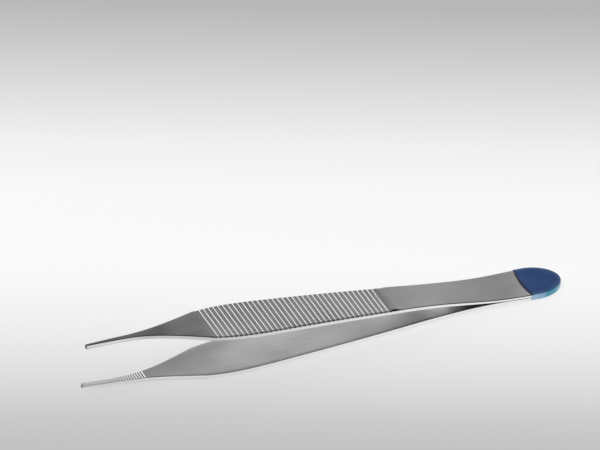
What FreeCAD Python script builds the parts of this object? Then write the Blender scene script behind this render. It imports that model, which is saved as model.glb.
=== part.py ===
import FreeCAD, Part

import math
import os

from FreeCAD import Placement, Rotation, Vector

# Fine-tipped thumb forceps, 12 cm pattern, stainless steel with a coated tail.
# Two like spring arms are welded flat against each other at the tail and bow
# apart to a pair of slender tips. Each arm is drawn with X running from the
# tip ends to the tail, Y across the arm, and Z = 0 on the plane between the
# arms. At the end the pair is laid down as it comes to rest, with Z up and
# the origin under the middle of its box.

# Driving dimensions, in millimetres
LENGTH = 120.0

# Plan of one arm, from the tip end back: the run from each place to the next
# and the full width there
TIP_WIDTH = 1.0
TIP_CORNER_RADIUS = 0.25
JAW_RUN = 9.0
JAW_WIDTH = 1.26
FLARE_START_RUN = 9.0
FLARE_START_WIDTH = 3.8
FLARE_MID_RUN = 6.3
FLARE_MID_WIDTH = 7.5
FLARE_END_RUN = 5.1
FLARE_END_WIDTH = 11.0
SHOULDER_RUN = 4.1
SHOULDER_WIDTH = 12.35
WIDEST_RUN = 6.0
GRIP_WIDTH = 12.96
TAPER_START_RUN = 10.5
TAPER_START_WIDTH = 12.26

# Plan of one arm, from the tail end forwards
TAIL_ROUND_LENGTH = 7.5
TAIL_WIDTH = 10.5
HIP_RUN = 14.5
HIP_WIDTH = 9.36
WAIST_RUN = 10.5
WAIST_WIDTH = 8.8
TAPER_END_RUN = 9.5
TAPER_END_WIDTH = 9.46

# Side view: the gap between the arms and the thickness of an arm, from the
# tips back to the start of the grip, then from the tail forwards
TIP_GAP = 10.14
TIP_THICKNESS = 0.92
BELLY_AT = 10.5
BELLY_GAP = 10.86
BELLY_THICKNESS = 0.88
GRIP_FRONT_GAP = 9.52
GRIP_FRONT_THICKNESS = 1.04
WELD_LENGTH = 14.5
TAIL_THICKNESS = 0.65
BEND_RUN = 15.5
BEND_GAP = 2.06
BEND_THICKNESS = 0.85
LEG_RUN = 15.0
LEG_GAP = 4.46
LEG_THICKNESS = 1.02
EDGE_BEVEL = 0.18

# Finger grip: cross ridges left standing between grooves in the outer face
FIRST_RIDGE_RUN = 1.3
LAST_RIDGE_FROM_TAIL = 44.6
RIDGE_PITCH = 1.24
RIDGE_CREST = 0.38
GROOVE_FLOOR = 0.46
GROOVE_DEPTH = 0.3

# Jaw serrations: fine cuts across the inner face of each tip
SERRATED_LENGTH = 15.3
FIRST_TOOTH_AT = 0.5
TOOTH_PITCH = 0.52
TOOTH_LAND = 0.08
TOOTH_ROOT = 0.06
TOOTH_DEPTH = 0.2

# Coat on the tail, with a front edge that bows towards the tips
COAT_LENGTH = 9.3
COAT_BOW = 0.7
COAT_THICKNESS = 0.12
COAT_BEVEL = 0.18

# Overrun of the cutting tools past what they cut, the smallest length that
# counts, and how finely the coat is sampled to find what it rests on
PAST = 2.0
FINE = 0.0001
REST_MESH = 0.02

# Places that follow from the runs, as distances from the tip ends
FLARE_END_AT = JAW_RUN + FLARE_START_RUN + FLARE_MID_RUN + FLARE_END_RUN
WIDEST_AT = FLARE_END_AT + SHOULDER_RUN + WIDEST_RUN
TAIL_ROUND_AT = LENGTH - TAIL_ROUND_LENGTH
WAIST_AT = TAIL_ROUND_AT - HIP_RUN - WAIST_RUN
WELD_AT = LENGTH - WELD_LENGTH
BEND_AT = WELD_AT - BEND_RUN
FIRST_RIDGE_AT = FLARE_END_AT + FIRST_RIDGE_RUN


def smooth(points, start=None, end=None):
    """A spline through the points, with its end directions where they are given."""
    inside = len(points) - 2
    curve = Part.BSplineCurve()
    curve.interpolate(
        Points=points,
        Tangents=[start or Vector()] + [Vector()] * inside + [end or Vector()],
        TangentFlags=[start is not None] + [False] * inside + [end is not None],
    )
    return curve


def side_curves():
    """The inner and the outer face of the upper arm in side view, from the tip
    to where the arms meet, level where they run into the tail."""
    stations = [
        (0, TIP_GAP, TIP_THICKNESS),
        (BELLY_AT, BELLY_GAP, BELLY_THICKNESS),
        (FLARE_END_AT, GRIP_FRONT_GAP, GRIP_FRONT_THICKNESS),
        (BEND_AT - LEG_RUN, LEG_GAP, LEG_THICKNESS),
        (BEND_AT, BEND_GAP, BEND_THICKNESS),
        (WELD_AT, 0, TAIL_THICKNESS),
    ]
    inner = [Vector(at, 0, gap / 2) for at, gap, thickness in stations]
    outer = [Vector(at, 0, gap / 2 + thickness) for at, gap, thickness in stations]
    level = Vector(1, 0, 0)
    return smooth(inner, end=level), smooth(outer, end=level)


def side_band(inner, outer):
    """The arm's side view, made wide enough to hold any plan."""
    rear = LENGTH + PAST
    inner_tip = inner.value(inner.FirstParameter)
    outer_tip = outer.value(outer.FirstParameter)
    corners = [
        Vector(WELD_AT, 0, 0),
        Vector(rear, 0, 0),
        Vector(rear, 0, TAIL_THICKNESS),
        Vector(WELD_AT, 0, TAIL_THICKNESS),
    ]
    edges = [inner.toShape(), outer.toShape(), Part.LineSegment(outer_tip, inner_tip).toShape()]
    edges += Part.makePolygon(corners).Edges
    face = Part.Face(Part.Wire(Part.__sortEdges__(edges)))
    face.translate(Vector(0, -GRIP_WIDTH, 0))
    return face.extrude(Vector(0, 2 * GRIP_WIDTH, 0))


def half_plan(growth):
    """The +Y side of the plan outline, from the tip to the round of the tail,
    drawn wider by a growth on each side."""

    def point(distance, width):
        return Vector(distance, width / 2 + growth, 0)

    tip_side = point(TIP_CORNER_RADIUS, TIP_WIDTH)
    tip_end = point(0, TIP_WIDTH - 2 * TIP_CORNER_RADIUS)
    bulge = TIP_CORNER_RADIUS * (1 - math.sqrt(0.5))
    tip_corner = point(bulge, TIP_WIDTH - 2 * bulge)
    jaw_end = point(JAW_RUN, JAW_WIDTH)
    flare_start = point(jaw_end.x + FLARE_START_RUN, FLARE_START_WIDTH)
    flare_mid = point(flare_start.x + FLARE_MID_RUN, FLARE_MID_WIDTH)
    corner = point(FLARE_END_AT, FLARE_END_WIDTH)
    shoulder = point(FLARE_END_AT + SHOULDER_RUN, SHOULDER_WIDTH)
    widest = point(WIDEST_AT, GRIP_WIDTH)
    taper_start = point(WIDEST_AT + TAPER_START_RUN, TAPER_START_WIDTH)
    taper_end = point(WAIST_AT - TAPER_END_RUN, TAPER_END_WIDTH)
    waist = point(WAIST_AT, WAIST_WIDTH)
    hip = point(TAIL_ROUND_AT - HIP_RUN, HIP_WIDTH)
    tail = point(TAIL_ROUND_AT, TAIL_WIDTH)
    taper = taper_end - taper_start
    return [
        Part.Arc(tip_end, tip_corner, tip_side),
        Part.LineSegment(tip_side, jaw_end),
        smooth([jaw_end, flare_start, flare_mid, corner], start=jaw_end - tip_side),
        smooth([corner, shoulder, widest, taper_start], end=taper),
        Part.LineSegment(taper_start, taper_end),
        smooth([taper_end, waist, hip, tail], start=taper, end=Vector(1, 0, 0)),
    ]


def round_tail(growth):
    """The half ellipse that closes the plan outline behind."""
    centre = Vector(TAIL_ROUND_AT, 0, 0)
    end = Vector(LENGTH + growth, 0, 0)
    side = Vector(TAIL_ROUND_AT, TAIL_WIDTH / 2 + growth, 0)
    return Part.ArcOfEllipse(Part.Ellipse(end, side, centre), -math.pi / 2, math.pi / 2)


def plan_face(growth=0):
    """The whole plan outline of an arm as a face on the middle plane."""
    side = [curve.toShape() for curve in half_plan(growth)]
    mirrored = [edge.mirror(Vector(), Vector(0, 1, 0)) for edge in side]
    tip_half = TIP_WIDTH / 2 - TIP_CORNER_RADIUS + growth
    tip = Part.LineSegment(Vector(0, tip_half, 0), Vector(0, -tip_half, 0)).toShape()
    edges = side + mirrored + [tip, round_tail(growth).toShape()]
    return Part.Face(Part.Wire(Part.__sortEdges__(edges)))


def rim(solid, places):
    """The edges round the faces of the solid that hold the places."""
    faces = [
        face
        for face in solid.Faces
        if any(face.distToShape(Part.Vertex(place))[0] < FINE for place in places)
    ]
    edges = [edge for face in faces for edge in face.Edges]
    return [edge for edge in edges if sum(edge.isSame(other) for other in edges) == 1]


def arm_blank(inner, outer):
    """The upper arm before it is grooved: its plan and its side view in one,
    with the edges of the outer face bevelled."""
    plan = plan_face().extrude(Vector(0, 0, BELLY_GAP + GRIP_WIDTH))
    blank = plan.common(side_band(inner, outer)).Solids[0]
    on_spring, along = on_curve(outer, BEND_AT)
    on_tail = Vector(TAIL_ROUND_AT, 0, TAIL_THICKNESS)
    return blank.makeChamfer(EDGE_BEVEL, rim(blank, [on_spring, on_tail]))


def on_curve(curve, distance):
    """The point of a side-view curve at a distance from the tip ends, and the
    direction of the curve there."""
    low = curve.FirstParameter
    high = curve.LastParameter
    smallest = (high - low) * FINE
    while high - low > smallest:
        middle = (low + high) / 2
        if curve.value(middle).x < distance:
            low = middle
        else:
            high = middle
    return curve.value(low), Vector(*curve.tangent(low)[0]).normalize()


def cross_cutter(curve, distance, mouth, floor, depth, side):
    """The cutter of one cross groove with sloping flanks. Its mouth lies on
    the face, and side is +1 for the outer face and -1 for the inner one."""
    place, along = on_curve(curve, distance)
    out = Vector(-along.z, 0, along.x) * side
    top = mouth - floor / 2
    corners = [
        place - along * (floor / 2) - out * depth,
        place + along * (floor / 2) - out * depth,
        place + along * top + out * depth,
        place - along * top + out * depth,
    ]
    face = Part.Face(Part.makePolygon(corners + corners[:1]))
    face.translate(Vector(0, -GRIP_WIDTH, 0))
    return face.extrude(Vector(0, 2 * GRIP_WIDTH, 0))


def grip_cutters(outer):
    """The grooves between the ridges, with one ahead of the first ridge."""
    mouth = RIDGE_PITCH - RIDGE_CREST
    first = FIRST_RIDGE_AT - RIDGE_PITCH / 2
    count = 1 + round((LENGTH - LAST_RIDGE_FROM_TAIL - FIRST_RIDGE_AT) / RIDGE_PITCH)
    return [
        cross_cutter(outer, first + i * RIDGE_PITCH, mouth, GROOVE_FLOOR, GROOVE_DEPTH, 1)
        for i in range(count)
    ]


def jaw_cutters(inner):
    """The serrations in the inner face of a tip."""
    mouth = TOOTH_PITCH - TOOTH_LAND
    count = 1 + round((SERRATED_LENGTH - FIRST_TOOTH_AT) / TOOTH_PITCH)
    return [
        cross_cutter(inner, FIRST_TOOTH_AT + i * TOOTH_PITCH, mouth, TOOTH_ROOT, TOOTH_DEPTH, -1)
        for i in range(count)
    ]


def turned_over(shape):
    """The same shape for the lower arm, which is the upper one turned over."""
    lower = shape.copy()
    lower.rotate(Vector(), Vector(1, 0, 0), 180)
    return lower


def coat_region():
    """Everything behind the coat's front edge, as a slab."""
    front = LENGTH - COAT_LENGTH
    rear = LENGTH + PAST
    left = Vector(front, -TAIL_WIDTH / 2, 0)
    right = Vector(front, TAIL_WIDTH / 2, 0)
    outside = [
        right,
        Vector(front, TAIL_WIDTH, 0),
        Vector(rear, TAIL_WIDTH, 0),
        Vector(rear, -TAIL_WIDTH, 0),
        Vector(front, -TAIL_WIDTH, 0),
        left,
    ]
    bow = Part.Arc(left, Vector(front - COAT_BOW, 0, 0), right).toShape()
    face = Part.Face(Part.Wire(Part.__sortEdges__([bow] + Part.makePolygon(outside).Edges)))
    face.translate(Vector(0, 0, -TAIL_WIDTH))
    return face.extrude(Vector(0, 0, 2 * TAIL_WIDTH))


def tail_coat(blank):
    """The skin over both tails, from its bowed front edge to the round end."""
    half_height = TAIL_THICKNESS + COAT_THICKNESS
    outline = plan_face(COAT_THICKNESS)
    outline.translate(Vector(0, 0, -half_height))
    block = outline.extrude(Vector(0, 0, 2 * half_height)).common(coat_region()).Solids[0]
    behind_front = LENGTH - COAT_LENGTH + COAT_THICKNESS
    level = [
        edge
        for edge in block.Edges
        if edge.BoundBox.ZLength < FINE and edge.BoundBox.XMax > behind_front
    ]
    block = block.makeChamfer(COAT_BEVEL, level)
    return block.cut([blank, turned_over(blank)]).Solids[0]


def lower_hull(points):
    """The underside of the points in side view, from the tips to the tail."""
    hull = []
    for x, z in sorted(points):
        while len(hull) > 1:
            (x1, z1), (x2, z2) = hull[-2:]
            if (x2 - x1) * (z - z1) > (z2 - z1) * (x - x1):
                break
            hull.pop()
        hull.append((x, z))
    return hull


def at_rest(lower, coat):
    """The placement that lays the pair on the two places of its underside
    before and behind the centre of mass, with the origin under its middle."""
    corners = [vertex.Point for vertex in lower.Vertexes] + coat.tessellate(REST_MESH)[0]
    hull = lower_hull([(point.x, point.z) for point in corners])
    centre = lower.CenterOfMass.x
    front, rear = next((a, b) for a, b in zip(hull, hull[1:]) if b[0] > centre)
    tilt = math.degrees(math.atan2(rear[1] - front[1], rear[0] - front[0]))
    print(f"rests at {front[0]:.1f} and {rear[0]:.1f} from the tips, tilted {tilt:.2f} degrees")
    turn = Placement(Vector(), Rotation(Vector(0, 1, 0), tilt))
    laid = [turn.multVec(point) for point in corners]
    along = [point.x for point in laid]
    lowest = min(point.z for point in laid)
    middle = (min(along) + max(along)) / 2
    return Placement(Vector(-middle, 0, -lowest), Rotation()).multiply(turn)


def main():
    inner, outer = side_curves()
    blank = arm_blank(inner, outer)
    upper = blank.cut(Part.makeCompound(grip_cutters(outer) + jaw_cutters(inner))).Solids[0]
    lower = turned_over(upper)
    coat = tail_coat(blank)
    rest = at_rest(lower, coat)
    os.makedirs("parts", exist_ok=True)
    for name, solid in (("upper_arm", upper), ("lower_arm", lower), ("tail_coat", coat)):
        laid = solid.copy()
        laid.transformShape(rest.toMatrix())
        laid.exportStep(f"parts/{name}.step")


main()
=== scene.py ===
import math

import bmesh
import bpy
import numpy as np
from mathutils import Matrix, Vector


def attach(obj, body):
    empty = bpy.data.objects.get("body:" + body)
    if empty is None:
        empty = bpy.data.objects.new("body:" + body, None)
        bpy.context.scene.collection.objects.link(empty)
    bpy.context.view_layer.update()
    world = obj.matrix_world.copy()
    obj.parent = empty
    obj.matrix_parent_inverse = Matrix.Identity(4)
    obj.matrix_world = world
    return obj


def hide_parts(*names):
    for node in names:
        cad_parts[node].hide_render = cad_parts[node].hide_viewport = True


# Fine-tipped thumb forceps, 12 cm pattern: two satin steel spring arms with a
# ridged finger grip, and a blue coat on the tail. Each arm is drawn in
# millimetres as the CAD draws it, with X from the tip ends to the tail, Y
# across and Z = 0 between the arms, and is then laid down as it rests.

MM = 0.001

# Plan of an arm: places along it and full widths there
TIP_WIDTH = 1.0
TIP_CORNER_RADIUS = 0.25
JAW_END = (9.0, 1.26)
FLARE_START = (18.0, 3.8)
FLARE_MID = (24.3, 7.5)
FLARE_END = (29.4, 11.0)
SHOULDER = (33.5, 12.35)
WIDEST = (39.5, 12.96)
TAPER_START = (50.0, 12.26)
TAPER_END = (78.0, 9.46)
WAIST = (87.5, 8.8)
HIP = (98.0, 9.36)
TAIL = (112.5, 10.5)
LENGTH = 120.0

# Side view of an arm: place, gap between the arms, thickness of the arm
SIDE_VIEW = [
    (0.0, 10.14, 0.92),
    (10.5, 10.86, 0.88),
    (29.4, 9.52, 1.04),
    (75.0, 4.46, 1.02),
    (90.0, 2.06, 0.85),
    (105.5, 0.0, 0.65),
]
TAIL_THICKNESS = 0.65

# Edge roundings of the strip: the outer edge, the same beside the grip across
# and down, the inner edge and the tip end
OUTER_ROUND = 0.2
GRIP_ROUND_ACROSS = 0.75
GRIP_ROUND_DOWN = 0.36
GRIP_ROUND_FROM = 30.0
GRIP_ROUND_TO = 76.0
INNER_ROUND = 0.13
TIP_ROUND = 0.12

# The jaws' sides lean, so that their inner faces are wider than their outer
# ones: by how much a side, and how far along the jaw this dies out
INNER_EXTRA = 0.2
INNER_EXTRA_REACH = (12.0, 18.0)
TIP_EXTRA_SHARE = 0.3
OUTER_LESS = 0.13
OUTER_LESS_REACH = (0.0, 10.0)

# Finger grip and jaw serrations
FIRST_GROOVE = 30.08
GROOVE_PITCH = 1.24
GROOVE_COUNT = 37
CREST_WIDTH = 0.52
GROOVE_DEPTH = 0.3
LAST_CREST_FADE = 0.16
FIRST_TOOTH = 0.4
TOOTH_PITCH = 0.64
TOOTH_COUNT = 24
TOOTH_WIDTH = 0.5
TOOTH_DEPTH = 0.14

# Tail coat: where its front edge lies in the middle and at the sides, its
# thickness, its edge rounding and how much painted pale reflection it takes round it, how far back the
# bow of its front edge reaches, the width of its painted shadow line along the front, how far the rows on
# its flat top run in, and where along the tail (laid down, in metres) its painted reflection is palest
COAT_FRONT = 110.0
COAT_SIDE_FRONT = 110.7
COAT_THICKNESS = 0.12
COAT_ROUND = 0.24
COAT_PALE_REFLECTION = (1.0, 0.95, 0.7, 0.45, 0.3, 0.22, 0.15)
COAT_BOW_REACH = 1.5
COAT_RIM_SHADOW_WIDTH = 0.23
COAT_SPINE_SHARE = 0.45
COAT_PALEST_REFLECTION_REACH = (0.0520, 0.0548)

# How the pair lies: its tilt, and where the middle between the tip ends goes
REST_TILT = 3.33519
REST_SHIFT = (-59.80614, 0, 7.74645)

# Camera, in the drawing's own frame
AIM = (60.0, 0.0, 0.0)
AIM_PIXEL = (322.65, 322.05)
IMAGE_SIZE = (600, 450)
AZIMUTH = 28.16
ELEVATION = 34.82
ROLL = 6.47
DISTANCE = 3324.0
PIXELS_PER_MM = 4.3695
SENSOR_WIDTH = 36.0

# How the pale floor shades off before and behind the object: the nearest and
# furthest depth, in metres, and its lightness at rows of the picture, from below
FLOOR_BAND_REACH = (-0.0432, 0.1337)
FLOOR_BAND_SKEW = 5.0
FLOOR_BAND = [
    (0, 0.515), (30, 0.578), (60, 0.68), (90, 0.765), (120, 0.84), (150, 0.895), (180, 0.92),
    (225, 0.915), (250, 0.915), (300, 0.85), (350, 0.715), (400, 0.575), (445, 0.462),
]
FLOOR_GLOW = 0.86

# How light the steel is along the outer and the inner face of an arm: partly its own satin tone and partly
# painted light and shade
OUTER_TONE_AND_PAINTED_LIGHT = [
    (0.0, 0.36), (14.0, 0.33), (18.0, 0.29), (22.0, 0.43), (26.0, 0.44), (30.0, 0.46), (30.3, 0.66),
    (74.0, 0.66), (75.0, 0.55), (76.0, 0.55), (77.0, 0.68), (78.0, 0.66), (84.0, 0.69), (90.0, 0.55),
    (96.0, 0.60), (102.0, 0.70), (112.0, 0.9),
]
INNER_TONE_AND_PAINTED_LIGHT = [
    (0.0, 0.7), (15.9, 0.60), (22.0, 0.74), (26.0, 0.76), (30.0, 0.88), (36.0, 1.08), (42.0, 1.14),
    (48.0, 1.22), (54.0, 1.20), (66.0, 1.14), (78.0, 1.08), (84.0, 0.85), (90.0, 1.3), (120.0, 1.0),
]

# Painted shade across the arm: how much the tone gains for each millimetre across the arm, on the outer
# and the inner face, and what is left of it where the grip's near edge rounds over, a painted shade there
# too
OUTER_PAINTED_SHADE_SLANT = [(8.0, 0.0), (14.0, 0.06), (27.0, 0.05), (30.0, 0.0)]
INNER_PAINTED_SHADE_SLANT = [(15.0, 0.07), (26.0, 0.05), (36.0, 0.045), (44.0, 0.015), (52.0, 0.0), (84.0, -0.01)]
NEAR_SHOULDER_PAINTED_SHADE = 0.4
# How much of the painted edge shade is left on the grip's far shoulder
FAR_SHOULDER_PAINTED_SHADE = 0.3
# The painted shade on the tip's end face
TIP_END_PAINTED_SHADE = 0.45

# The steel's own lightness, what its blotches add or take, the painted shade on its rounded edges and in the
# gaps between teeth, and the painted highlight on crests and the painted reflection on sides
STEEL_LIGHT = 0.53
STEEL_BLOTCHES = 0.42
ROUNDING_PAINTED_SHADE = 0.55
TOOTH_GAP_PAINTED_SHADE = 0.97
CREST_PAINTED_HIGHLIGHT = 0.84
SIDE_PAINTED_REFLECTION = 0.93

# Lightness of the room by height of view, from level to straight up, how much
# brighter it is towards the tail, and the glow behind the object
ROOM = [
    (0.0, 1.5), (0.25, 1.2), (0.4, 0.75), (0.5, 0.5), (0.6, 0.34), (0.72, 0.13), (0.85, 0.05), (1.0, 0.03),
]
ROOM_TO_THE_TAIL = 0.9
ROOM_FRONT_LOSS = 0.4
ROOM_FRONT_REACH = (0.1, -0.4)
GLOW_DIRECTION = (-0.07, 0.724, 0.686)
GLOW_REACH = (0.90, 0.97)
GLOW = 1.7
SOFTBOXES = [
    ("overhead_softbox", (-0.75, -0.35, 1.3), 1.0, 1.0, 16.0),
]

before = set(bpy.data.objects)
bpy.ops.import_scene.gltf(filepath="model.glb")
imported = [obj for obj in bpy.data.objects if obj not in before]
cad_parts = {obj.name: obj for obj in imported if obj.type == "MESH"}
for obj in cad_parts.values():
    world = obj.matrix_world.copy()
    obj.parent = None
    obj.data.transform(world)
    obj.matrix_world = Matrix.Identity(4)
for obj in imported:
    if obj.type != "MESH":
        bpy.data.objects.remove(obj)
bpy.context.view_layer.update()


def at_rest():
    """Takes the drawing, in millimetres, to where it lies, in metres."""
    turn = Matrix.Rotation(math.radians(REST_TILT), 4, "Y")
    return Matrix.Scale(MM, 4) @ Matrix.Translation(Vector(REST_SHIFT)) @ turn


def place_camera():
    """The camera at the photograph's angle and distance."""
    azimuth = math.radians(AZIMUTH)
    elevation = math.radians(ELEVATION)
    roll = math.radians(ROLL)
    right = Vector((math.cos(azimuth), -math.sin(azimuth), 0))
    back = Vector((
        -math.sin(azimuth) * math.cos(elevation),
        -math.cos(azimuth) * math.cos(elevation),
        math.sin(elevation),
    ))
    up = back.cross(right)
    rolled_right = right * math.cos(roll) + up * math.sin(roll)
    rolled_up = up * math.cos(roll) - right * math.sin(roll)
    level = Matrix((rolled_right, rolled_up, back)).transposed()
    focal = PIXELS_PER_MM * DISTANCE
    aside = AIM_PIXEL[0] - IMAGE_SIZE[0] / 2
    below = AIM_PIXEL[1] - IMAGE_SIZE[1] / 2
    swing = Vector((0, 0, -1)).rotation_difference(Vector((aside, -below, -focal)))
    turned = level @ swing.to_matrix().inverted()
    lay = at_rest()
    place = lay @ (Vector(AIM) + back * DISTANCE)
    data = bpy.data.cameras.new("camera")
    data.sensor_width = SENSOR_WIDTH
    data.lens = focal * SENSOR_WIDTH / IMAGE_SIZE[0]
    data.clip_start = 0.1
    data.clip_end = 50
    camera = bpy.data.objects.new("camera", data)
    lay_turn = Matrix.Rotation(math.radians(REST_TILT), 3, "Y")
    camera.matrix_world = Matrix.Translation(place) @ (lay_turn @ turned).to_4x4()
    bpy.context.scene.collection.objects.link(camera)
    bpy.context.scene.camera = camera


class Value:
    """A number that runs through a node tree. Sums on it add Math nodes."""

    def __init__(self, nodes, socket):
        self.nodes = nodes
        self.socket = socket

    def math(self, operation, *others):
        values = {i: other for i, other in enumerate((self,) + others)}
        return self.nodes.add("ShaderNodeMath", {"operation": operation}, values).value()

    def __add__(self, other):
        return self.math("ADD", other)

    def __sub__(self, other):
        return self.math("SUBTRACT", other)

    def __mul__(self, other):
        return self.math("MULTIPLY", other)

    def __truediv__(self, other):
        return self.math("DIVIDE", other)

    def __radd__(self, other):
        return self.math("ADD", other)

    def __rsub__(self, other):
        return self.math("MULTIPLY", -1.0).math("ADD", other)

    def __rmul__(self, other):
        return self.math("MULTIPLY", other)

    def at_least(self, other):
        return self.math("MAXIMUM", other)

    def at_most(self, other):
        return self.math("MINIMUM", other)

    def size(self):
        return self.math("ABSOLUTE")

    def mixed(self, other, part):
        """Part of the way to the other."""
        return self + (other - self) * part

    def whole(self):
        return self.math("ROUND")

    def ramp(self, low, high, smooth=False):
        """0 below low, 1 above high."""
        style = {"interpolation_type": "SMOOTHSTEP" if smooth else "LINEAR", "clamp": True}
        return self.nodes.add("ShaderNodeMapRange", style, {0: self, 1: low, 2: high}).value()


class Added:
    """A node that was just added."""

    def __init__(self, nodes, node):
        self.nodes = nodes
        self.node = node

    def __getitem__(self, name):
        return self.node.outputs[name]

    def value(self, name=0):
        return Value(self.nodes, self.node.outputs[name])


class Nodes:
    """A node tree that is written as expressions."""

    def __init__(self, tree):
        self.tree = tree
        tree.nodes.clear()

    def add(self, kind, settings=None, inputs=None):
        """Adds a node, with its settings first and then what goes into its sockets."""
        node = self.tree.nodes.new(kind)
        for name, setting in (settings or {}).items():
            if name == "stops":
                self.set_stops(node.color_ramp, setting)
            else:
                setattr(node, name, setting)
        for name, given in (inputs or {}).items():
            socket = node.inputs[name]
            if isinstance(given, Value):
                given = given.socket
            if isinstance(given, bpy.types.NodeSocket):
                self.tree.links.new(given, socket)
            else:
                socket.default_value = given
        return Added(self, node)

    def set_stops(self, ramp, stops):
        while len(ramp.elements) < len(stops):
            ramp.elements.new(0.5)
        for element, (at, colour) in zip(ramp.elements, stops):
            element.position = at
            element.color = (*colour, 1.0)

    def object_place(self):
        return self.add("ShaderNodeTexCoord")["Object"]

    def noise(self, place, scale, detail=2.0, roughness=0.5, stretch=(1, 1, 1)):
        """Noise of so many waves a metre, from 0 to 1."""
        stretched = self.add("ShaderNodeMapping", inputs={"Vector": place, "Scale": stretch})
        inputs = {"Vector": stretched["Vector"], "Scale": scale, "Detail": detail, "Roughness": roughness}
        return self.add("ShaderNodeTexNoise", {"noise_dimensions": "3D"}, inputs).value(0)

    def mix(self, factor, one, other):
        """A colour between one and the other."""
        inputs = {"Factor": factor, 6: one, 7: other}
        return self.add("ShaderNodeMix", {"data_type": "RGBA"}, inputs)[2]

    def bump(self, height, strength, distance, normal=None):
        inputs = {"Height": height, "Strength": strength, "Distance": distance}
        if normal:
            inputs["Normal"] = normal
        return self.add("ShaderNodeBump", inputs=inputs)["Normal"]

    def surface(self, **inputs):
        """Ends a material in one surface shader; a socket's name has _ for its spaces."""
        named = {name.replace("_", " "): given for name, given in inputs.items()}
        shader = self.add("ShaderNodeBsdfPrincipled", inputs=named)
        self.add("ShaderNodeOutputMaterial", inputs={"Surface": shader["BSDF"]})


def new_material(name):
    material = bpy.data.materials.new(name)
    material.use_nodes = True
    return material, Nodes(material.node_tree)


def satin_steel():
    """Stainless steel with a fine satin grain. The crests of its ridges and its narrow sides are smoother,
    the crests with a painted highlight and the sides with a painted reflection, and its rounded edges and
    tooth gaps have painted shade."""
    material, nodes = new_material("satin_steel")
    place = nodes.object_place()

    def kept(name):
        return nodes.add("ShaderNodeAttribute", {"attribute_name": name}).value("Fac")

    patches = nodes.noise(place, 80.0, 2.0, 0.5, (0.7, 1.0, 1.0))
    grain = nodes.noise(place, 2600.0, 2.0, 0.6)
    lines = nodes.noise(place, 900.0, 2.0, 0.6, (0.12, 1.0, 1.0))
    light = STEEL_LIGHT + (patches - 0.5) * STEEL_BLOTCHES
    light = light + (grain - 0.5) * 0.08 + (lines - 0.5) * 0.05
    # The arm's tone along and across it, partly its own and partly painted light and shade
    light = light * kept("sheen")
    # Painted shade on rounded edges
    light = light * (1.0 - kept("rounding") * ROUNDING_PAINTED_SHADE)
    # Painted shade in the gaps between the jaw's teeth
    light = light * (1.0 - kept("tooth_gap") * TOOTH_GAP_PAINTED_SHADE)
    # Painted highlight on the crests of the grip and of the teeth
    light = light.mixed(CREST_PAINTED_HIGHLIGHT, kept("crest"))
    # Painted reflection on the narrow sides
    light = light.mixed(SIDE_PAINTED_REFLECTION, kept("side"))
    light = light.at_least(0.02).at_most(1.0)
    colour = nodes.mix(light.socket, (0.0, 0.0, 0.0, 1), (1.0, 1.0, 1.005, 1))
    roughness = 0.29 + (patches - 0.5) * 0.16 + (lines - 0.5) * 0.08
    roughness = roughness.mixed(0.2, kept("crest"))
    roughness = roughness.mixed(0.24, kept("side"))
    normal = nodes.bump((grain * 0.7 + lines * 0.2).socket, 0.12, 0.000006)
    nodes.surface(
        Base_Color=colour,
        Metallic=1.0,
        Roughness=roughness.socket,
        Normal=normal,
    )
    return material


def blue_coat():
    """The tail's blue coat: a thin glossy layer, navy on the flats, with a painted pale
    reflection round the sides and a painted shadow line along its front edge."""
    material, nodes = new_material("blue_tail_coat")
    place = nodes.object_place()
    cloud = nodes.noise(place, 180.0, 2.0)
    drift = nodes.noise(place, 260.0, 1.0)
    ripple = nodes.noise(place, 700.0, 2.0)
    thin = nodes.add("ShaderNodeAttribute", {"attribute_name": "thin"}).value("Fac")
    rim = nodes.add("ShaderNodeAttribute", {"attribute_name": "rim"}).value("Fac")
    navy = nodes.mix(cloud.ramp(0.35, 0.65).socket, (0.008, 0.043, 0.160, 1), (0.014, 0.058, 0.190, 1))
    lengthwise = nodes.add("ShaderNodeSeparateXYZ", inputs={0: place}).value("X")
    # A painted pale reflection round the coat's sides, palest towards its front edge
    drift = drift.ramp(0.38, 0.62).at_least(1 - lengthwise.ramp(*COAT_PALEST_REFLECTION_REACH))
    pale_reflection_colour = nodes.mix(drift.socket, (0.07, 0.35, 0.50, 1), (0.37, 0.54, 0.76, 1))
    colour = nodes.mix(thin.socket, navy, pale_reflection_colour)
    # A painted shadow line along the coat's front edge
    colour = nodes.mix(rim.socket, colour, (0.004, 0.008, 0.03, 1))
    normal = nodes.bump(ripple.socket, 0.15, 0.00002)
    nodes.surface(
        Base_Color=colour,
        Metallic=0.0,
        Roughness=(0.26 + (cloud - 0.5) * 0.1).socket,
        Specular_IOR_Level=0.2,
        Coat_Weight=0.08,
        Coat_Roughness=0.08,
        Normal=normal,
    )
    return material


def pale_floor():
    """A pale sweep that glows, brightest in a wide band that the object lies in."""
    material, nodes = new_material("pale_floor")
    parts = nodes.add("ShaderNodeSeparateXYZ", inputs={0: nodes.object_place()})
    azimuth = math.radians(AZIMUTH)
    skew = math.radians(FLOOR_BAND_SKEW)
    depth = parts.value("X") * math.sin(azimuth - skew) + parts.value("Y") * math.cos(azimuth - skew)
    stops = [(at / 450, (level, level, level)) for at, level in FLOOR_BAND]
    band = nodes.add("ShaderNodeValToRGB", {"stops": stops}, {0: depth.ramp(*FLOOR_BAND_REACH)})
    faint = nodes.mix(0.8, band["Color"], (0.0, 0.0, 0.0, 1))
    nodes.surface(
        Base_Color=faint,
        Roughness=0.9,
        Specular_IOR_Level=0.1,
        Emission_Color=band["Color"],
        Emission_Strength=FLOOR_GLOW,
    )
    return material


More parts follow.
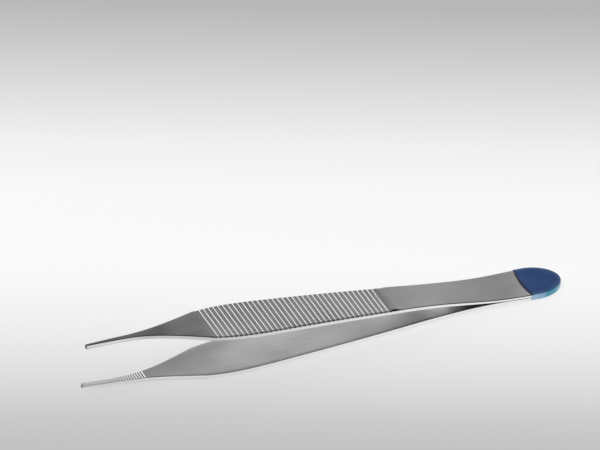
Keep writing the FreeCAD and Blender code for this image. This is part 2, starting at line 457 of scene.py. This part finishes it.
def spline(stations, start=None, end=None):
    """A smooth curve through (place, size) stations. start and end are its
    slopes at its ends, and an end without one runs out straight."""
    at, size = (np.array(column, float) for column in zip(*stations))
    run = np.diff(at)
    slope = np.diff(size) / run
    last = len(at) - 1
    rows = np.zeros((last + 1, last + 1))
    known = np.zeros(last + 1)
    rows[0, 0] = 1
    rows[last, last] = 1
    for i in range(1, last):
        rows[i, i - 1:i + 2] = run[i - 1], 2 * (run[i - 1] + run[i]), run[i]
        known[i] = 6 * (slope[i] - slope[i - 1])
    if start is not None:
        rows[0, :2] = 2 * run[0], run[0]
        known[0] = 6 * (slope[0] - start)
    if end is not None:
        rows[last, last - 1:] = run[-1], 2 * run[-1]
        known[last] = 6 * (end - slope[-1])
    bend = np.linalg.solve(rows, known)

    def curve(place):
        i = int(np.clip(np.searchsorted(at, place) - 1, 0, last - 1))
        past = place - at[i]
        left = at[i + 1] - place
        cubic = (bend[i] * left ** 3 + bend[i + 1] * past ** 3) / (6 * run[i])
        line = (size[i] * left + size[i + 1] * past) / run[i]
        return float(cubic + line - run[i] / 6 * (bend[i] * left + bend[i + 1] * past))

    return curve


def slope_between(one, other):
    return (other[1] - one[1]) / (other[0] - one[0])


JAW_SLOPE = slope_between((TIP_CORNER_RADIUS, TIP_WIDTH), JAW_END)
TAPER_SLOPE = slope_between(TAPER_START, TAPER_END)
FLARE = spline([JAW_END, FLARE_START, FLARE_MID, FLARE_END], start=JAW_SLOPE)
GRIP = spline([FLARE_END, SHOULDER, WIDEST, TAPER_START], end=TAPER_SLOPE)
REAR = spline([TAPER_END, WAIST, HIP, TAIL], start=TAPER_SLOPE, end=0.0)
INNER_FACE = spline([(at, gap / 2) for at, gap, thickness in SIDE_VIEW], end=0.0)
OUTER_FACE = spline([(at, gap / 2 + thickness) for at, gap, thickness in SIDE_VIEW], end=0.0)


def half_width(place):
    """Half the width of an arm at a distance from its tip end."""
    if place < TIP_CORNER_RADIUS:
        ahead = TIP_CORNER_RADIUS - place
        corner = math.sqrt(TIP_CORNER_RADIUS ** 2 - ahead ** 2)
        return TIP_WIDTH / 2 - TIP_CORNER_RADIUS + corner
    if place < JAW_END[0]:
        return TIP_WIDTH / 2 + JAW_SLOPE / 2 * (place - TIP_CORNER_RADIUS)
    if place < FLARE_END[0]:
        return FLARE(place) / 2
    if place < TAPER_START[0]:
        return GRIP(place) / 2
    if place < TAPER_END[0]:
        return (TAPER_START[1] + TAPER_SLOPE * (place - TAPER_START[0])) / 2
    if place < TAIL[0]:
        return REAR(place) / 2
    behind = (place - TAIL[0]) / (LENGTH - TAIL[0])
    return TAIL[1] / 2 * math.sqrt(max(0.0, 1 - behind ** 2))


def faces_at(place):
    """The heights of the inner and the outer face."""
    if place < SIDE_VIEW[-1][0]:
        return INNER_FACE(place), OUTER_FACE(place)
    return 0.0, TAIL_THICKNESS


def eased(value, low, high):
    """0 below low, 1 above high, with a soft start and end."""
    part = min(1.0, max(0.0, (value - low) / (high - low)))
    return part * part * (3 - 2 * part)


def from_crest(place, first, pitch, count, width):
    """0 on the top of a crest between evenly spaced cuts, 1 at its foot and on
    the cuts' floors, and none away from the cuts."""
    number = (place - first) / pitch
    if not -0.5 <= number <= count - 0.5:
        return None
    away = abs(number - round(number)) * pitch
    return min(1.0, max(0.0, (pitch / 2 - away) / (width / 2)))


def sunk(place, across):
    """How far the outer face lies under the crests' height: the last crest is
    lower in its middle."""
    last = FIRST_GROOVE + (GROOVE_COUNT - 1) * GROOVE_PITCH
    if not last - GROOVE_PITCH < place < last:
        return 0.0
    return LAST_CREST_FADE * (1 - eased(across, 0.15, 0.95))


def section(place):
    """One cross-section of the upper arm: a ring of (y, z, kind) points."""
    half = half_width(place)
    low, high = faces_at(place)
    beside = eased(place, GRIP_ROUND_FROM - 1.2, GRIP_ROUND_FROM)
    beside -= eased(place, GRIP_ROUND_TO, GRIP_ROUND_TO + 1.6)
    across = OUTER_ROUND + (GRIP_ROUND_ACROSS - OUTER_ROUND) * beside
    down = OUTER_ROUND + (GRIP_ROUND_DOWN - OUTER_ROUND) * beside
    tip_share = min(1.0, place / TIP_CORNER_RADIUS + TIP_EXTRA_SHARE)
    half_in = half + INNER_EXTRA * (1 - eased(place, *INNER_EXTRA_REACH)) * tip_share
    half_out = half - OUTER_LESS * (1 - eased(place, *OUTER_LESS_REACH))
    across = min(across, half_out * 0.8)
    inner = min(INNER_ROUND, half * 0.5)
    end = max(0.0, 1 - place / TIP_ROUND)
    pulled = TIP_ROUND * (1 - math.sqrt(1 - end ** 2))
    low += pulled
    high -= pulled
    side = [(part * (half_in - inner), low, "inner") for part in (0, 0.3, 0.6, 0.85, 1)]
    for turn in (30, 60, 90):
        angle = math.radians(turn)
        kind = "side" if turn == 90 else "inner rounding"
        side.append((half_in - inner + inner * math.sin(angle), low + inner - inner * math.cos(angle), kind))
    bottom = low + inner
    top = high - sunk(place, 1.0) - down
    for part in (0.33, 0.67):
        side.append((half_in + (half_out - half_in) * part, bottom + (top - bottom) * part, "side"))
    for turn in range(0, 91, 15):
        angle = math.radians(turn)
        y = half_out - across + across * math.cos(angle)
        kind = "side" if turn <= 15 else "outer" if turn > 80 else "outer rounding"
        if beside and 30 < turn < 80:
            kind = "outer shoulder"
        side.append((y, top + down * math.sin(angle), kind))
    for part in (0.94, 0.85, 0.7, 0.45, 0.22, 0):
        side.append((part * (half_out - across), high - sunk(place, part), "outer"))
    other = [(-y, z, kind) for y, z, kind in reversed(side[1:-1])]
    return side + other


def stations():
    """Places of the cross-sections, close together where the steel is cut."""
    places = [0, 0.015, 0.05, 0.1, 0.17, 0.25]
    tooth_steps = (-0.5, -0.42, -0.34, -0.28, -0.16, 0, 0.16, 0.28, 0.34, 0.42)
    for i in range(TOOTH_COUNT):
        middle = FIRST_TOOTH + i * TOOTH_PITCH
        places += [middle + step * TOOTH_PITCH for step in tooth_steps]
    cut_end = FIRST_TOOTH + (TOOTH_COUNT - 0.5) * TOOTH_PITCH
    grip_start = FIRST_GROOVE - GROOVE_PITCH / 2
    places += list(np.linspace(cut_end, grip_start, 42)) + [FLARE_END[0]]
    groove_steps = (0, 0.14, 0.25, 0.272, 0.276, 0.30, 0.33, 0.365, 0.40, 0.44, 0.475)
    for i in range(GROOVE_COUNT):
        middle = FIRST_GROOVE + i * GROOVE_PITCH
        places += [middle + step * GROOVE_PITCH for step in groove_steps]
        places += [middle - step * GROOVE_PITCH for step in groove_steps[1:]]
        places.append(middle + GROOVE_PITCH / 2)
    grip_end = FIRST_GROOVE + (GROOVE_COUNT - 0.5) * GROOVE_PITCH
    places += list(np.linspace(grip_end, TAIL[0], 76))
    for turn in np.linspace(8, 84, 14):
        places.append(TAIL[0] + (LENGTH - TAIL[0]) * math.sin(math.radians(turn)))
    places += [119.99]
    return sorted(set(round(float(place), 4) for place in places if place >= 0))


def arm_blank():
    """The upper arm before its grooves are cut, with the heights of its faces
    kept at each point for the cutting."""
    places = stations()
    rings = [section(place) for place in places]
    count = len(rings[0])
    points = [(place, y, z) for place, ring in zip(places, rings) for y, z, kind in ring]
    faces = []
    for row in range(len(places) - 1):
        for i in range(count):
            nearer = row * count + i
            next_one = row * count + (i + 1) % count
            faces.append((nearer, next_one, next_one + count, nearer + count))
    faces.append(tuple(range(count))[::-1])
    faces.append(tuple(range((len(places) - 1) * count, len(places) * count)))
    mesh = bpy.data.meshes.new("arm_blank")
    mesh.from_pydata(points, [], faces)
    heights = [faces_at(place) for place in places for i in range(count)]
    add_values(mesh, "inner_height", [low for low, high in heights])
    add_values(mesh, "outer_height", [high for low, high in heights])
    finishes = [finish(place, y, kind) for place, ring in zip(places, rings) for y, z, kind in ring]
    for name in finishes[0]:
        add_values(mesh, name, [values[name] for values in finishes])
    point_outwards(mesh)
    return mesh


def table_at(table, place):
    """The value that a table of (place, value) gives at a place."""
    return float(np.interp(place, *zip(*table)))


def finish(place, y, kind):
    """How the steel looks at one point: its tone, partly painted light and shade, and how much of it is
    a crest with a painted highlight, a gap between teeth with painted shade, a narrow side with a painted
    reflection or a rounded edge with painted shade."""
    values = {"sheen": 0.8, "crest": 0.0, "tooth_gap": 0.0, "side": 0.0, "rounding": 0.0}
    # A painted reflection on the narrow sides
    if kind == "side":
        values["side"] = 1.0
    elif "outer" in kind:
        # Painted light and shade along the outer face, slanting across it as painted shade
        values["sheen"] = table_at(OUTER_TONE_AND_PAINTED_LIGHT, place) * (1 + table_at(OUTER_PAINTED_SHADE_SLANT, place) * y)
        # A painted highlight on the grip's crests
        ridge = from_crest(place, FIRST_GROOVE, GROOVE_PITCH, GROOVE_COUNT, CREST_WIDTH)
        inside = FIRST_GROOVE < place < FIRST_GROOVE + (GROOVE_COUNT - 1) * GROOVE_PITCH
        if ridge is not None and inside:
            values["crest"] = 1 - eased(ridge, 0.2, 0.9)
        # Painted shade on the grip's near rounded edge
        if kind == "outer shoulder" and y < 0:
            values["sheen"] *= NEAR_SHOULDER_PAINTED_SHADE
    else:
        # Painted light and shade along the inner face, slanting across it as painted shade
        values["sheen"] = table_at(INNER_TONE_AND_PAINTED_LIGHT, place) * (1 + table_at(INNER_PAINTED_SHADE_SLANT, place) * y)
        tooth = from_crest(place, FIRST_TOOTH, TOOTH_PITCH, TOOTH_COUNT, TOOTH_WIDTH)
        if tooth is not None:
            # A painted highlight on each tooth's crest and painted shade in the gaps
            values["crest"] = 1.3 * (1 - eased(tooth, 0.38, 0.5))
            values["tooth_gap"] = eased(tooth, 0.38, 0.5)
    # Painted shade on rounded edges, less on the grip's far shoulder
    if kind not in ("inner", "outer", "side"):
        values["rounding"] = max(0.0, 1 - values["crest"])
        if kind == "outer shoulder" and y > 0:
            values["rounding"] *= FAR_SHOULDER_PAINTED_SHADE
    # Painted shade on the tip's end face
    if place < TIP_ROUND:
        values.update(sheen=TIP_END_PAINTED_SHADE, crest=0.0, side=0.0)
    return values


def add_values(mesh, name, values):
    attribute = mesh.attributes.new(name, "FLOAT", "POINT")
    attribute.data.foreach_set("value", np.array(values, np.float32))


def point_outwards(mesh):
    shape = bmesh.new()
    shape.from_mesh(mesh)
    bmesh.ops.recalc_face_normals(shape, faces=shape.faces)
    shape.to_mesh(mesh)
    shape.free()


def cross_cuts():
    """A tree that cuts evenly spaced cross grooves into one face of an arm."""
    tree = bpy.data.node_groups.new("cross_cuts", "GeometryNodeTree")
    tree.interface.new_socket("Arm", in_out="INPUT", socket_type="NodeSocketGeometry")
    names = {}
    for name in ("First", "Pitch", "Crest width", "Depth", "Side"):
        names[name] = tree.interface.new_socket(name, in_out="INPUT", socket_type="NodeSocketFloat")
    for name, kind in (("Count", "Int"), ("Height of face", "String"), ("Finish", "Material")):
        names[name] = tree.interface.new_socket(name, in_out="INPUT", socket_type="NodeSocket" + kind)
    tree.interface.new_socket("Arm", in_out="OUTPUT", socket_type="NodeSocketGeometry")
    nodes = Nodes(tree)
    given = nodes.add("NodeGroupInput")
    place = nodes.add("ShaderNodeSeparateXYZ", inputs={0: nodes.add("GeometryNodeInputPosition")[0]})
    lengthwise = place.value("X")
    side = given.value("Side")
    height = {"Name": given["Height of face"]}
    face = nodes.add("GeometryNodeInputNamedAttribute", {"data_type": "FLOAT"}, height)
    number = ((lengthwise - given.value("First")) / given.value("Pitch")).whole()
    number = number.at_least(0.0).at_most(given.value("Count") - 1)
    away = (lengthwise - given.value("First") - number * given.value("Pitch")).size()
    flank = (given.value("Pitch") / 2 - away) / (given.value("Crest width") / 2)
    flank = flank.at_least(0.0).at_most(1.0)
    deep = flank * flank
    floor = face.value(0) * side - deep * given.value("Depth")
    cut = (place.value("Z") * side).at_most(floor) * side
    moved = nodes.add("ShaderNodeCombineXYZ", inputs={"X": place["X"], "Y": place["Y"], "Z": cut})
    carved = nodes.add("GeometryNodeSetPosition", inputs={"Geometry": given["Arm"], "Position": moved[0]})
    whole = nodes.add("GeometryNodeRealizeInstances", inputs={"Geometry": carved["Geometry"]})
    finish_inputs = {"Geometry": whole[0], "Material": given["Finish"]}
    finished = nodes.add("GeometryNodeSetMaterial", inputs=finish_inputs)
    nodes.add("NodeGroupOutput", inputs={0: finished["Geometry"]})
    return tree, {name: socket.identifier for name, socket in names.items()}


def carve(mesh, cuts):
    """The mesh with each set of cuts made in it, as a plain mesh again."""
    tree, keys = cross_cuts()
    blank = bpy.data.objects.new("arm_blank", mesh)
    bpy.context.scene.collection.objects.link(blank)
    for cut in cuts:
        modifier = blank.modifiers.new("cuts", "NODES")
        modifier.node_group = tree
        for name, given in cut.items():
            modifier[keys[name]] = given
    bpy.context.view_layer.update()
    evaluated = blank.evaluated_get(bpy.context.evaluated_depsgraph_get())
    carved = bpy.data.meshes.new_from_object(evaluated)
    bpy.data.objects.remove(blank)
    return carved


def make_arm(carved, name, place, node):
    """One arm from the carved blank, laid in its place."""
    mesh = carved.copy()
    mesh.name = name
    mesh.transform(place)
    for polygon in mesh.polygons:
        polygon.use_smooth = True
    mesh.set_sharp_from_angle(angle=math.radians(50))
    arm = bpy.data.objects.new(name, mesh)
    bpy.context.scene.collection.objects.link(arm)
    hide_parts(node)
    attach(arm, "root")
    return arm


def coat_outline(inset):
    """Half the coat's outline from its front corner round to the tail end,
    drawn smaller by an inset, as (x, y) points."""
    grown = COAT_THICKNESS - inset
    points = []
    for place in np.linspace(COAT_SIDE_FRONT, TAIL[0], 9):
        points.append((float(place), half_width(float(place)) + grown))
    long_axis = LENGTH - TAIL[0] + grown
    side_axis = TAIL[1] / 2 + grown
    for turn in np.linspace(4, 90, 30):
        angle = math.radians(turn)
        points.append((TAIL[0] + long_axis * math.sin(angle), side_axis * math.cos(angle)))
    return points


def front_bow(y):
    """How far the coat's front edge bows towards the tips, away from its sides."""
    half = TAIL[1] / 2
    return (COAT_SIDE_FRONT - COAT_FRONT) * max(0.0, 1 - (y / half) ** 2)


def coat_profile():
    """The coat's rounded edge from its side wall to its flat top, as insets
    from the outline, heights and how much painted pale reflection the coat takes there."""
    top = TAIL_THICKNESS + COAT_THICKNESS
    profile = [(0.0, 0.0, 1.0), (0.0, (top - COAT_ROUND) * 0.6, 1.0)]
    for turn in range(0, 91, 15):
        angle = math.radians(turn)
        inset = COAT_ROUND * (1 - math.cos(angle))
        height = top - COAT_ROUND * (1 - math.sin(angle))
        profile.append((inset, height, COAT_PALE_REFLECTION[turn // 15]))
    return profile


def tail_coat():
    """The coat as a skin round both tails, open only at its bowed front edge,
    with its thickness put on the inside."""
    rows = []
    for inset, height, thin in coat_profile():
        rows.append([(x, y, height, thin) for x, y in coat_outline(inset)])
    top = TAIL_THICKNESS + COAT_THICKNESS
    rim = coat_outline(COAT_ROUND)
    for part in (0.9, 0.75, 0.5, 0.25, 0.0):
        row = []
        for x, y in rim:
            spine = min(x, TAIL[0] + (x - TAIL[0]) * COAT_SPINE_SHARE)
            if x <= TAIL[0]:
                spine = x
            row.append((spine + (x - spine) * part, y * part, top, 0.05 if part == 0.9 else 0.0))
        rows.append(row)
    shape = bmesh.new()
    pale_reflection_layer = shape.verts.layers.float.new("thin")
    rim_shadow_layer = shape.verts.layers.float.new("rim")
    for up in (1, -1):
        for side in (1, -1):
            grid = []
            for row in rows:
                line = []
                for x, y, z, thin in row:
                    ahead = 1 - min(1.0, (x - COAT_SIDE_FRONT) / COAT_BOW_REACH)
                    vert = shape.verts.new((x - front_bow(y) * ahead, y * side, z * up))
                    # The painted pale reflection round the sides
                    vert[pale_reflection_layer] = thin
                    # The painted shadow line along the coat's front edge
                    in_rim_shadow = x < COAT_SIDE_FRONT + COAT_RIM_SHADOW_WIDTH and thin < 0.5
                    vert[rim_shadow_layer] = float(in_rim_shadow)
                    line.append(vert)
                grid.append(line)
            for lower, upper in zip(grid, grid[1:]):
                for i in range(len(lower) - 1):
                    shape.faces.new((lower[i], lower[i + 1], upper[i + 1], upper[i]))
    bmesh.ops.remove_doubles(shape, verts=shape.verts, dist=0.0005)
    bmesh.ops.dissolve_degenerate(shape, edges=shape.edges, dist=0.0005)
    bmesh.ops.recalc_face_normals(shape, faces=shape.faces)
    mesh = bpy.data.meshes.new("tail_coat")
    shape.to_mesh(mesh)
    shape.free()
    outward = max(mesh.polygons, key=lambda polygon: polygon.center.z).normal.z > 0
    if not outward:
        mesh.flip_normals()
    return mesh


def make_coat(material):
    mesh = tail_coat()
    mesh.materials.append(material)
    for polygon in mesh.polygons:
        polygon.use_smooth = True
    coat = bpy.data.objects.new("blue_tail_coat", mesh)
    bpy.context.scene.collection.objects.link(coat)
    wall = coat.modifiers.new("wall", "SOLIDIFY")
    wall.thickness = COAT_THICKNESS
    wall.offset = -1
    bpy.context.view_layer.update()
    evaluated = coat.evaluated_get(bpy.context.evaluated_depsgraph_get())
    walled = bpy.data.meshes.new_from_object(evaluated)
    coat.modifiers.clear()
    coat.data = walled
    walled.transform(at_rest())
    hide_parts("tail_coat")
    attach(coat, "root")
    return coat


def make_floor():
    mesh = bpy.data.meshes.new("floor")
    reach = 6.0
    corners = [(-reach, -reach, 0), (reach, -reach, 0), (reach, reach, 0), (-reach, reach, 0)]
    mesh.from_pydata(corners, [], [(0, 1, 2, 3)])
    mesh.materials.append(pale_floor())
    floor = bpy.data.objects.new("floor", mesh)
    bpy.context.scene.collection.objects.link(floor)


def add_soft_light(name, place, width, height, power, target=(0, 0, 0)):
    data = bpy.data.lights.new(name, "AREA")
    data.shape = "RECTANGLE"
    data.size = width
    data.size_y = height
    data.energy = power
    light = bpy.data.objects.new(name, data)
    light.location = place
    aim = Vector(target) - Vector(place)
    light.rotation_euler = aim.to_track_quat("-Z", "Y").to_euler()
    bpy.context.scene.collection.objects.link(light)


def light_studio():
    """A room that is bright low down and dark overhead, with a glow behind the
    object and a soft light over its tips."""
    world = bpy.data.worlds.new("studio")
    world.use_nodes = True
    bpy.context.scene.world = world
    nodes = Nodes(world.node_tree)
    direction = nodes.add("ShaderNodeTexCoord")["Generated"]
    parts = nodes.add("ShaderNodeSeparateXYZ", inputs={0: direction})
    stops = [(at, (level / 2, level / 2, level / 2)) for at, level in ROOM]
    sky = nodes.add("ShaderNodeValToRGB", {"stops": stops}, {0: parts.value("Z").at_least(0.0)})
    sideways = (1.0 + parts.value("X") * ROOM_TO_THE_TAIL).at_least(0.1)
    sideways = sideways * (1.0 - parts.value("Y").ramp(*ROOM_FRONT_REACH) * ROOM_FRONT_LOSS)
    towards = sum(parts.value(axis) * part for axis, part in zip("XYZ", GLOW_DIRECTION))
    glow = towards.ramp(*GLOW_REACH, smooth=True) * GLOW
    strength = sky.value("Color") * 2.0 * sideways + glow
    background = nodes.add("ShaderNodeBackground", inputs={"Strength": strength})
    nodes.add("ShaderNodeOutputWorld", inputs={"Surface": background[0]})
    for name, place, width, height, power in SOFTBOXES:
        add_soft_light(name, place, width, height, power)


bpy.context.scene.view_settings.view_transform = "Standard"
place_camera()
steel = satin_steel()
grip_cuts = {
    "First": FIRST_GROOVE,
    "Pitch": GROOVE_PITCH,
    "Crest width": CREST_WIDTH,
    "Depth": GROOVE_DEPTH,
    "Side": 1.0,
    "Count": GROOVE_COUNT,
    "Height of face": "outer_height",
    "Finish": steel,
}
jaw_cuts = {
    "First": FIRST_TOOTH,
    "Pitch": TOOTH_PITCH,
    "Crest width": TOOTH_WIDTH,
    "Depth": TOOTH_DEPTH,
    "Side": -1.0,
    "Count": TOOTH_COUNT,
    "Height of face": "inner_height",
    "Finish": steel,
}
carved_arm = carve(arm_blank(), [grip_cuts, jaw_cuts])
turned_over = Matrix.Rotation(math.pi, 4, "X")
make_arm(carved_arm, "upper_spring_arm", at_rest(), "upper_arm")
make_arm(carved_arm, "lower_spring_arm", at_rest() @ turned_over, "lower_arm")
make_coat(blue_coat())
make_floor()
light_studio()
